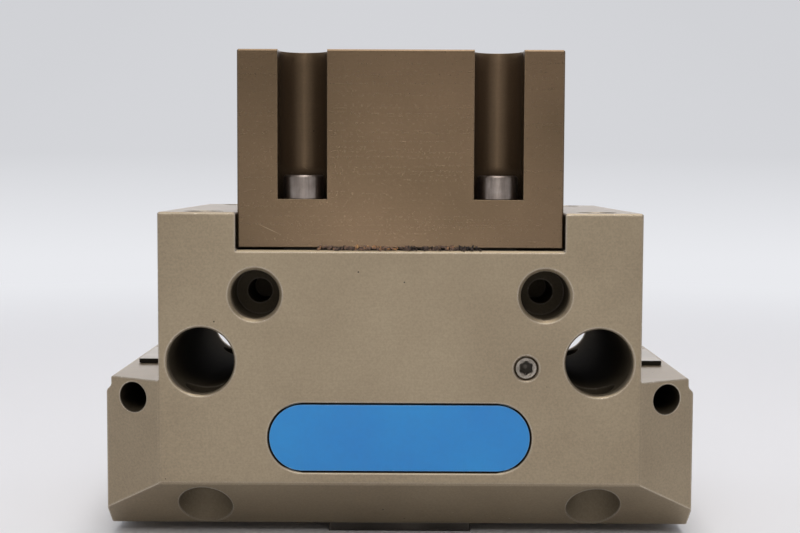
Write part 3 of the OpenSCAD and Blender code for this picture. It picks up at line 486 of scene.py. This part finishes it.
def geometry_tree(name, sizes):
    """An empty geometry tree and its group nodes. sizes gives the socket type of each named input."""
    tree = bpy.data.node_groups.new(name, "GeometryNodeTree")
    tree.interface.new_socket("Geometry", in_out="INPUT", socket_type="NodeSocketGeometry")
    for label, kind in sizes.items():
        tree.interface.new_socket(label, in_out="INPUT", socket_type=kind)
    tree.interface.new_socket("Geometry", in_out="OUTPUT", socket_type="NodeSocketGeometry")
    return tree, add(tree, "NodeGroupInput"), add(tree, "NodeGroupOutput")


def grown(name, base, tree, values, body, replaced=()):
    """The plain mesh that a geometry tree makes from a base mesh, riding on one body."""
    piece = bpy.data.objects.new(name, base)
    bpy.context.scene.collection.objects.link(piece)
    modifier = piece.modifiers.new("growth", "NODES")
    modifier.node_group = tree
    for socket in tree.interface.items_tree:
        if socket.in_out == "INPUT" and socket.name in values:
            modifier[socket.identifier] = values[socket.name]
    evaluated = piece.evaluated_get(bpy.context.evaluated_depsgraph_get())
    mesh = bpy.data.meshes.new_from_object(evaluated)
    piece.modifiers.remove(modifier)
    piece.data = mesh
    mesh.name = name
    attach(piece, body)
    if replaced:
        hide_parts(*replaced)
    return piece


def points_mesh(name, points):
    data = bpy.data.meshes.new(name)
    data.from_pydata(points, [], [])
    return data


def placing_tree():
    """One screw on each point, each turned by its own random angle."""
    tree, given, made = geometry_tree("screw_placing", {
        "Screw": "NodeSocketObject", "Finish": "NodeSocketMaterial", "Seed": "NodeSocketInt"})
    angle = add(tree, "FunctionNodeRandomValue", {"data_type": "FLOAT"}, {
        2: 0, 3: 2 * math.pi, "Seed": given.outputs["Seed"]})
    turn = add(tree, "ShaderNodeCombineXYZ", inputs={"Z": angle.outputs[1]})
    screw = add(tree, "GeometryNodeObjectInfo", inputs={"Object": given.outputs["Screw"]})
    placed = add(tree, "GeometryNodeInstanceOnPoints", inputs={
        "Points": given.outputs["Geometry"], "Instance": screw.outputs["Geometry"],
        "Rotation": turn.outputs[0]})
    real = add(tree, "GeometryNodeRealizeInstances", inputs={"Geometry": placed.outputs["Instances"]})
    coated = add(tree, "GeometryNodeSetMaterial", inputs={
        "Geometry": real.outputs["Geometry"], "Material": given.outputs["Finish"]})
    tree.links.new(coated.outputs["Geometry"], made.inputs["Geometry"])
    return tree


def coil_tree():
    """A compression spring on each point: closed end coils, and even pitch between them."""
    tree, given, made = geometry_tree("spring_winding", {
        "Mean radius": "NodeSocketFloat", "Wire radius": "NodeSocketFloat", "Height": "NodeSocketFloat",
        "Coils": "NodeSocketFloat", "Steps": "NodeSocketInt", "Finish": "NodeSocketMaterial"})
    line = add(tree, "GeometryNodeCurvePrimitiveLine")
    stepped = add(tree, "GeometryNodeResampleCurve", inputs={
        "Curve": line.outputs["Curve"], "Count": given.outputs["Steps"]})
    share = add(tree, "GeometryNodeSplineParameter").outputs["Factor"]
    coils = add(tree, "ShaderNodeMath", {"operation": "MULTIPLY"}, {
        0: share, 1: given.outputs["Coils"]}).outputs[0]
    angle = add(tree, "ShaderNodeMath", {"operation": "MULTIPLY"}, {0: coils, 1: 2 * math.pi}).outputs[0]
    axes = {}
    for axis, operation in (("X", "COSINE"), ("Y", "SINE")):
        ratio = add(tree, "ShaderNodeMath", {"operation": operation}, {0: angle}).outputs[0]
        axes[axis] = add(tree, "ShaderNodeMath", {"operation": "MULTIPLY"}, {
            0: ratio, 1: given.outputs["Mean radius"]}).outputs[0]
    wire_d = add(tree, "ShaderNodeMath", {"operation": "MULTIPLY"}, {
        0: given.outputs["Wire radius"], 1: 2.08}).outputs[0]
    closed = add(tree, "ShaderNodeMath", {"operation": "MULTIPLY"}, {0: wire_d, 1: 3}).outputs[0]
    open_part = add(tree, "ShaderNodeMath", {"operation": "SUBTRACT"}, {
        0: given.outputs["Height"], 1: closed}).outputs[0]
    last = add(tree, "ShaderNodeMath", {"operation": "SUBTRACT"}, {
        0: given.outputs["Coils"], 1: 1}).outputs[0]
    stages = [
        add(tree, "ShaderNodeMapRange", inputs={
            "Value": coils, "From Min": low, "From Max": high,
            "To Min": 0, "To Max": rise}).outputs["Result"]
        for low, high, rise in (
            (0, 1, wire_d), (1, last, open_part), (last, given.outputs["Coils"], wire_d))]
    rise = add(tree, "ShaderNodeMath", {"operation": "ADD"}, {0: stages[0], 1: stages[1]}).outputs[0]
    rise = add(tree, "ShaderNodeMath", {"operation": "ADD"}, {0: rise, 1: stages[2]}).outputs[0]
    rise = add(tree, "ShaderNodeMath", {"operation": "ADD"}, {
        0: rise, 1: given.outputs["Wire radius"]}).outputs[0]
    helix = add(tree, "GeometryNodeSetPosition", inputs={
        "Geometry": stepped.outputs["Curve"],
        "Position": add(tree, "ShaderNodeCombineXYZ", inputs={
            "X": axes["X"], "Y": axes["Y"], "Z": rise}).outputs[0]})
    section = add(tree, "GeometryNodeCurvePrimitiveCircle", inputs={
        "Resolution": 12, "Radius": given.outputs["Wire radius"]})
    wire = add(tree, "GeometryNodeCurveToMesh", inputs={
        "Curve": helix.outputs["Geometry"], "Profile Curve": section.outputs["Curve"], "Fill Caps": True})
    placed = add(tree, "GeometryNodeInstanceOnPoints", inputs={
        "Points": given.outputs["Geometry"], "Instance": wire.outputs["Mesh"]})
    real = add(tree, "GeometryNodeRealizeInstances", inputs={"Geometry": placed.outputs["Instances"]})
    smooth = add(tree, "GeometryNodeSetShadeSmooth", inputs={"Geometry": real.outputs["Geometry"]})
    coated = add(tree, "GeometryNodeSetMaterial", inputs={
        "Geometry": smooth.outputs["Geometry"], "Material": given.outputs["Finish"]})
    tree.links.new(coated.outputs["Geometry"], made.inputs["Geometry"])
    return tree


def screw_set(name, blank, places, body, node, seed):
    """Screws of one blank at their places, in place of one CAD node."""
    template = bpy.data.objects.new(name + "_blank", blank)
    bpy.context.scene.collection.objects.link(template)
    grown(name, points_mesh(name + "_places", places), PLACING, {
        "Screw": template, "Finish": FINISHES["bright_screw_steel"], "Seed": seed},
        body, [node])
    bpy.data.objects.remove(template)


def shade_by_angle(mesh, limit):
    """Smooth shading with crisp edges where two faces meet at more than limit."""
    mesh.shade_smooth()
    mesh.set_sharp_from_angle(angle=limit)


PLACING = placing_tree()

# M5 x 20 screws: two in the face slots and two behind the gripping face of each finger
FINGER_SCREW = dict(thread=5, head_d=8.5, head_h=5, hex_key=4, length=20, pitch=0.8, rim=0.55)
finger_blank = socket_screw("finger_screw", **FINGER_SCREW)
shade_by_angle(finger_blank, math.radians(35))
for side, jaw, seed in (("front", "front_jaw", 3), ("rear", "rear_jaw", 7)):
    low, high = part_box(side + "_finger_screws")
    half_head = FINGER_SCREW["head_d"] / 2 * MM
    seat = high.z - FINGER_SCREW["head_h"] * MM
    places = [(x, y, seat) for x in (low.x + half_head, high.x - half_head)
              for y in (low.y + half_head, high.y - half_head)]
    screw_set(side + "_finger_cap_screws", finger_blank, places, jaw, side + "_finger_screws", seed)

# M2 x 3 screws that hold the sensor clamps
CLAMP_SCREW = dict(thread=2, head_d=3.8, head_h=2, hex_key=1.5, length=3, pitch=0.4, rim=0.2)
clamp_blank = socket_screw("clamp_screw", **CLAMP_SCREW)
shade_by_angle(clamp_blank, math.radians(35))
low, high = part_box("sensor_clamp_screws")
half_head = CLAMP_SCREW["head_d"] / 2 * MM
seat = high.z - CLAMP_SCREW["head_h"] * MM
places = [(x, y, seat) for x in (low.x + half_head, high.x - half_head)
          for y in (low.y + half_head, high.y - half_head)]
screw_set("sensor_clamp_cap_screws", clamp_blank, places, "body", "sensor_clamp_screws", 11)

# M5 x 6 set screws that close the air passages, one in the front face and one in the rear
PLUG = dict(thread=5, hex_key=2.5, length=6, pitch=0.8, rim=0.38)
plug_blank = set_screw("plug", **PLUG)
low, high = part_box("passage_plugs")
plug_x = high.x - PLUG["thread"] / 2 * MM
both = bmesh.new()
for side in (-1, 1):
    turned = plug_blank.copy()
    turned.transform(Matrix.Translation((-side * plug_x, side * high.y, (low.z + high.z) / 2))
                     @ Matrix.Rotation(-side * math.pi / 2, 4, "X"))
    both.from_mesh(turned)
plug_mesh = bpy.data.meshes.new("air_passage_plugs")
both.to_mesh(plug_mesh)
both.free()
shade_by_angle(plug_mesh, math.radians(35))
plug_mesh.materials.append(FINISHES["plug_steel"])
plugs = bpy.data.objects.new("air_passage_plugs", plug_mesh)
bpy.context.scene.collection.objects.link(plugs)
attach(plugs, "body")
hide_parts("passage_plugs")

# The two opening springs between the cover and the piston
WIRE_D = 1.1
SPRING_COILS = 6
COIL_STEPS = 28
low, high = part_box("opening_springs")
coil_r = (high.y - low.y) / 2
spring_x = high.x - coil_r
springs = grown(
    "opening_spring_coils",
    points_mesh("spring_places", [(-spring_x, 0, low.z), (spring_x, 0, low.z)]), coil_tree(), {
        "Mean radius": coil_r - WIRE_D / 2 * MM, "Wire radius": WIRE_D / 2 * MM, "Height": high.z - low.z,
        "Coils": float(SPRING_COILS), "Steps": SPRING_COILS * COIL_STEPS + 1,
        "Finish": FINISHES["spring_steel"]},
    "body", ["opening_springs"])
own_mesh(springs)


# ---------------------------------------------------------------- dirt along the notch floor

def dirt_finish():
    """Dried grease and rust crumbs: matt, from purple-grey to orange-brown, grain by grain."""
    material = bpy.data.materials.new("dried_grease")
    material.use_nodes = True
    tree = material.node_tree
    shader = tree.nodes["Principled BSDF"]
    where = add(tree, "ShaderNodeTexCoord").outputs["Object"]
    grain = add(tree, "ShaderNodeAttribute", {"attribute_name": "tint"}).outputs["Fac"]
    spots = add(tree, "ShaderNodeTexNoise", inputs={
        "Vector": where, "Scale": 1 / (0.5 * MM), "Detail": 2})
    mixed = add(tree, "ShaderNodeMath", {"operation": "MULTIPLY_ADD"}, {
        0: spots.outputs["Fac"], 1: 0.6, 2: grain})
    shares = add(tree, "ShaderNodeMapRange", inputs={
        "Value": mixed.outputs[0], "From Min": 0.2, "From Max": 1.3})
    ramp = add(tree, "ShaderNodeValToRGB", inputs={"Fac": shares.outputs["Result"]})
    shades = ["#231b18", "#4f4039", "#7d6352", "#b4824f", "#dfbd8c"]
    ramp.color_ramp.elements[0].color = linear(shades[0])
    ramp.color_ramp.elements[1].color = linear(shades[-1])
    for i, shade in enumerate(shades[1:-1], 1):
        ramp.color_ramp.elements.new(i / (len(shades) - 1)).color = linear(shade)
    bump = add(tree, "ShaderNodeBump", inputs={"Height": spots.outputs["Fac"], "Distance": 0.08 * MM})
    shader.inputs["Roughness"].default_value = 0.7
    tree.links.new(ramp.outputs["Color"], shader.inputs["Base Color"])
    tree.links.new(bump.outputs["Normal"], shader.inputs["Normal"])
    return material


def crumb_tree():
    """Crumbs strewn over a strip, each of its own size, turn and tint."""
    tree, given, made = geometry_tree("crumb_strewing", {
        "Crumbs per square metre": "NodeSocketFloat", "Smallest": "NodeSocketFloat",
        "Largest": "NodeSocketFloat", "Seed": "NodeSocketInt", "Finish": "NodeSocketMaterial"})
    strewn = add(tree, "GeometryNodeDistributePointsOnFaces", inputs={
        "Mesh": given.outputs["Geometry"], "Density": given.outputs["Crumbs per square metre"],
        "Seed": given.outputs["Seed"]})
    crumb = add(tree, "GeometryNodeMeshIcoSphere", inputs={"Radius": 0.5, "Subdivisions": 1})
    size = add(tree, "FunctionNodeRandomValue", {"data_type": "FLOAT"}, {
        2: given.outputs["Smallest"], 3: given.outputs["Largest"], "Seed": 1})
    full_turn = 6.28
    turn = add(tree, "FunctionNodeRandomValue", {"data_type": "FLOAT_VECTOR"}, {
        0: (0, 0, 0), 1: (full_turn, full_turn, full_turn), "Seed": 2})
    own_tint = add(tree, "FunctionNodeRandomValue", {"data_type": "FLOAT"}, {
        2: -0.25, 3: 0.25, "Seed": 3})
    patches = add(tree, "ShaderNodeTexNoise", inputs={
        "Vector": add(tree, "GeometryNodeInputPosition").outputs["Position"], "Scale": 1 / (6 * MM)})
    spread = add(tree, "ShaderNodeMapRange", inputs={
        "Value": patches.outputs["Fac"], "From Min": 0.35, "From Max": 0.65, "To Min": 0, "To Max": 0.8})
    tint = add(tree, "ShaderNodeMath", {"operation": "ADD"}, {
        0: own_tint.outputs[1], 1: spread.outputs["Result"]})
    flat = add(tree, "ShaderNodeVectorMath", {"operation": "SCALE"}, {
        0: (1.6, 1, 0.6), "Scale": size.outputs[1]})
    placed = add(tree, "GeometryNodeInstanceOnPoints", inputs={
        "Points": strewn.outputs["Points"], "Instance": crumb.outputs["Mesh"],
        "Rotation": turn.outputs[0], "Scale": flat.outputs["Vector"]})
    tinted = add(tree, "GeometryNodeStoreNamedAttribute", {"data_type": "FLOAT", "domain": "INSTANCE"}, {
        "Geometry": placed.outputs["Instances"], "Name": "tint", "Value": tint.outputs[0]})
    real = add(tree, "GeometryNodeRealizeInstances", inputs={"Geometry": tinted.outputs["Geometry"]})
    coated = add(tree, "GeometryNodeSetMaterial", inputs={
        "Geometry": real.outputs["Geometry"], "Material": given.outputs["Finish"]})
    tree.links.new(coated.outputs["Geometry"], made.inputs["Geometry"])
    return tree


def dirt_strip(name, left, right, front, back, floor, top):
    """The sloping strip that the crumbs lie on: from the floor's edge up against the finger."""
    data = bpy.data.meshes.new(name)
    corners = [(left, front, floor), (right, front, floor), (right, back, top), (left, back, top)]
    data.from_pydata(corners, [], [(0, 1, 2, 3)])
    return data


# The crumbs lie on the middle of the notch floor, from just inside its front edge to the finger
STRIP_HALF_W = 17 * MM
notch_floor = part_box("front_base_jaw")[1].z - NOTCH_GAP
grown("notch_crumbs", dirt_strip(
    "crumb_strip", -STRIP_HALF_W, STRIP_HALF_W,
    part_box("housing")[0].y + 0.5 * MM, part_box("front_finger_block")[0].y - 0.1 * MM,
    notch_floor + 0.05 * MM, notch_floor + 0.75 * MM), crumb_tree(), {
        "Crumbs per square metre": 9e6, "Smallest": 0.28 * MM, "Largest": 0.75 * MM, "Seed": 5,
        "Finish": dirt_finish()}, "body")


# ---------------------------------------------------------------- stage, light and camera

def backdrop():
    """A seamless pale sweep: a floor that curves up into a wall, with painted shade darker up the wall
    and at its sides.
    """
    floor_z = CAD_BOX[0].z
    half_width, front_y, bend_y, bend_r, top_z = 12.0, -12.0, 0.9, 0.6, 3.0
    bend_steps = 16
    profile = [(front_y, floor_z), (-0.3, floor_z), (0.3, floor_z), (bend_y, floor_z)]
    for step in range(1, bend_steps + 1):
        turn = math.pi / 2 * step / bend_steps
        profile.append((bend_y + bend_r * math.sin(turn), floor_z + bend_r * (1 - math.cos(turn))))
    profile.append((bend_y + bend_r, top_z))
    mesh = bmesh.new()
    rows = [[mesh.verts.new((x, y, z)) for y, z in profile] for x in (-half_width, half_width)]
    for i in range(len(profile) - 1):
        mesh.faces.new((rows[0][i], rows[1][i], rows[1][i + 1], rows[0][i + 1])).smooth = True
    data = bpy.data.meshes.new("backdrop")
    mesh.to_mesh(data)
    mesh.free()
    sweep = bpy.data.objects.new("backdrop", data)
    bpy.context.scene.collection.objects.link(sweep)
    material = bpy.data.materials.new("matt_paper")
    material.use_nodes = True
    tree = material.node_tree
    shader = tree.nodes["Principled BSDF"]
    place = add(tree, "ShaderNodeSeparateXYZ", inputs={
        "Vector": add(tree, "ShaderNodeTexCoord").outputs["Object"]})
    rise = add(tree, "ShaderNodeMapRange", inputs={
        "Value": place.outputs["Z"], "From Min": 0, "From Max": 0.3})
    # Painted shade: the paper is palest on the floor and darker up the wall
    paper = add(tree, "ShaderNodeValToRGB", inputs={"Fac": rise.outputs["Result"]})
    shades = ["#e9eaee", "#d5d6da", "#d4d5d9", "#d3d4d8"]
    paper.color_ramp.elements[0].color = linear(shades[0])
    paper.color_ramp.elements[1].color = linear(shades[-1])
    for i, shade in enumerate(shades[1:-1], 1):
        paper.color_ramp.elements.new(i / (len(shades) - 1)).color = linear(shade)
    shader.inputs["Roughness"].default_value = 0.9
    shader.inputs["Specular IOR Level"].default_value = 0
    tree.links.new(paper.outputs["Color"], shader.inputs["Base Color"])
    # Away from the object the sheet glows with its own colour for the camera and in reflections, whatever
    # light reaches it
    ray = add(tree, "ShaderNodeLightPath").outputs
    seen = add(tree, "ShaderNodeMath", {"operation": "MAXIMUM"}, {
        0: ray["Is Camera Ray"], 1: ray["Is Glossy Ray"]}).outputs[0]
    seen = add(tree, "ShaderNodeMath", {"operation": "MAXIMUM"}, {
        0: seen, 1: ray["Is Transmission Ray"]}).outputs[0]
    flat = add(tree, "ShaderNodeCombineXYZ", inputs={"X": place.outputs["X"], "Y": place.outputs["Y"]})
    away = add(tree, "ShaderNodeVectorMath", {"operation": "LENGTH"}, {0: flat.outputs[0]})
    far = add(tree, "ShaderNodeMapRange", {"interpolation_type": "SMOOTHSTEP"}, {
        "Value": away.outputs["Value"], "From Min": 0.18, "From Max": 0.7}).outputs["Result"]
    share = add(tree, "ShaderNodeMath", {"operation": "MULTIPLY"}, {0: seen, 1: far}).outputs[0]
    # Painted shade: high up the wall it is a little dimmer at both sides
    aside = add(tree, "ShaderNodeMath", {"operation": "POWER"}, {0: place.outputs["X"], 1: 2})
    high_aside = add(tree, "ShaderNodeMath", {"operation": "MULTIPLY"}, {
        0: aside.outputs[0], 1: rise.outputs["Result"]})
    side_shade = add(tree, "ShaderNodeMapRange", inputs={
        "Value": high_aside.outputs[0], "From Min": 0, "From Max": 0.12, "To Min": 1, "To Max": 0.975})
    own = add(tree, "ShaderNodeEmission", inputs={
        "Color": paper.outputs["Color"], "Strength": side_shade.outputs["Result"]})
    either = add(tree, "ShaderNodeMixShader", inputs={
        0: share, 1: shader.outputs["BSDF"], 2: own.outputs["Emission"]})
    tree.links.new(either.outputs["Shader"], tree.nodes["Material Output"].inputs["Surface"])
    data.materials.append(material)


def softbox(name, place, size, radiance, colour):
    """A soft light on the gripper. An area lamp's power is its radiance times pi times its area."""
    target = (0, 0, 0.05)
    light = bpy.data.lights.new(name, "AREA")
    light.shape = "RECTANGLE"
    light.size, light.size_y = size
    light.energy = radiance * math.pi * size[0] * size[1]
    light.color = linear(colour)[:3]
    lamp = bpy.data.objects.new(name, light)
    lamp.location = place
    lamp.rotation_euler = (Vector(target) - Vector(place)).to_track_quat("-Z", "Y").to_euler()
    lamp.visible_camera = False
    bpy.context.scene.collection.objects.link(lamp)


def room_light():
    """An even pale room, dimmer in front of the object above eye level."""
    world = bpy.data.worlds.new("room")
    world.use_nodes = True
    tree = world.node_tree
    sky = tree.nodes["Background"]
    way = add(tree, "ShaderNodeSeparateXYZ", inputs={
        "Vector": add(tree, "ShaderNodeTexCoord").outputs["Generated"]})
    rise = add(tree, "ShaderNodeMapRange", inputs={
        "Value": way.outputs["Z"], "From Min": -0.02, "From Max": 0.2})
    front = add(tree, "ShaderNodeMix", {"data_type": "RGBA"}, {
        0: rise.outputs["Result"], 6: linear("#efedea"), 7: linear("#9c9894")})
    share = add(tree, "ShaderNodeMapRange", inputs={
        "Value": way.outputs["Y"], "From Min": -0.6, "From Max": 0.4})
    shades = add(tree, "ShaderNodeMix", {"data_type": "RGBA"}, {
        0: share.outputs["Result"], 6: front.outputs[2], 7: linear("#e2e5ec")})
    tree.links.new(shades.outputs[2], sky.inputs["Color"])
    sky.inputs["Strength"].default_value = 1
    bpy.context.scene.world = world


def camera():
    """The camera, level with the top of the body and turned a little down onto it."""
    place = Vector((1.08, -320.0, 78.24)) * MM
    pitch, yaw, roll = (math.radians(a) for a in (3.862, -0.224, 0.237))
    forward = Vector((math.sin(yaw) * math.cos(pitch), math.cos(yaw) * math.cos(pitch), -math.sin(pitch)))
    right = Vector((math.cos(yaw), -math.sin(yaw), 0))
    up = Vector((math.sin(yaw) * math.sin(pitch), math.cos(yaw) * math.sin(pitch), math.cos(pitch)))
    rolled_right = math.cos(roll) * right + math.sin(roll) * up
    rolled_up = math.cos(roll) * up - math.sin(roll) * right
    turn = Matrix((rolled_right, rolled_up, -forward)).transposed()
    lens = bpy.data.cameras.new("camera")
    lens.lens = 61.875
    lens.sensor_width = 36
    lens.clip_start = 0.01
    view = bpy.data.objects.new("camera", lens)
    view.matrix_world = Matrix.Translation(place) @ turn.to_4x4()
    bpy.context.scene.collection.objects.link(view)
    bpy.context.scene.camera = view


backdrop()
softbox("overhead", (0.05, 0, 1.0), (0.65, 0.5), 3.8, "#fffaf4")
softbox("front_top", (0, -0.8, 0.8), (0.8, 0.6), 2.2, "#fffdfa")
softbox("back_low", (0, 1.3, 0.42), (1.6, 0.3), 1.8, "#f2f4ff")
softbox("low_front", (-0.02, -1.15, 0.0), (0.2, 0.14), 9, "#fffdfa")
room_light()
camera()
bpy.context.scene.view_settings.view_transform = "Standard"
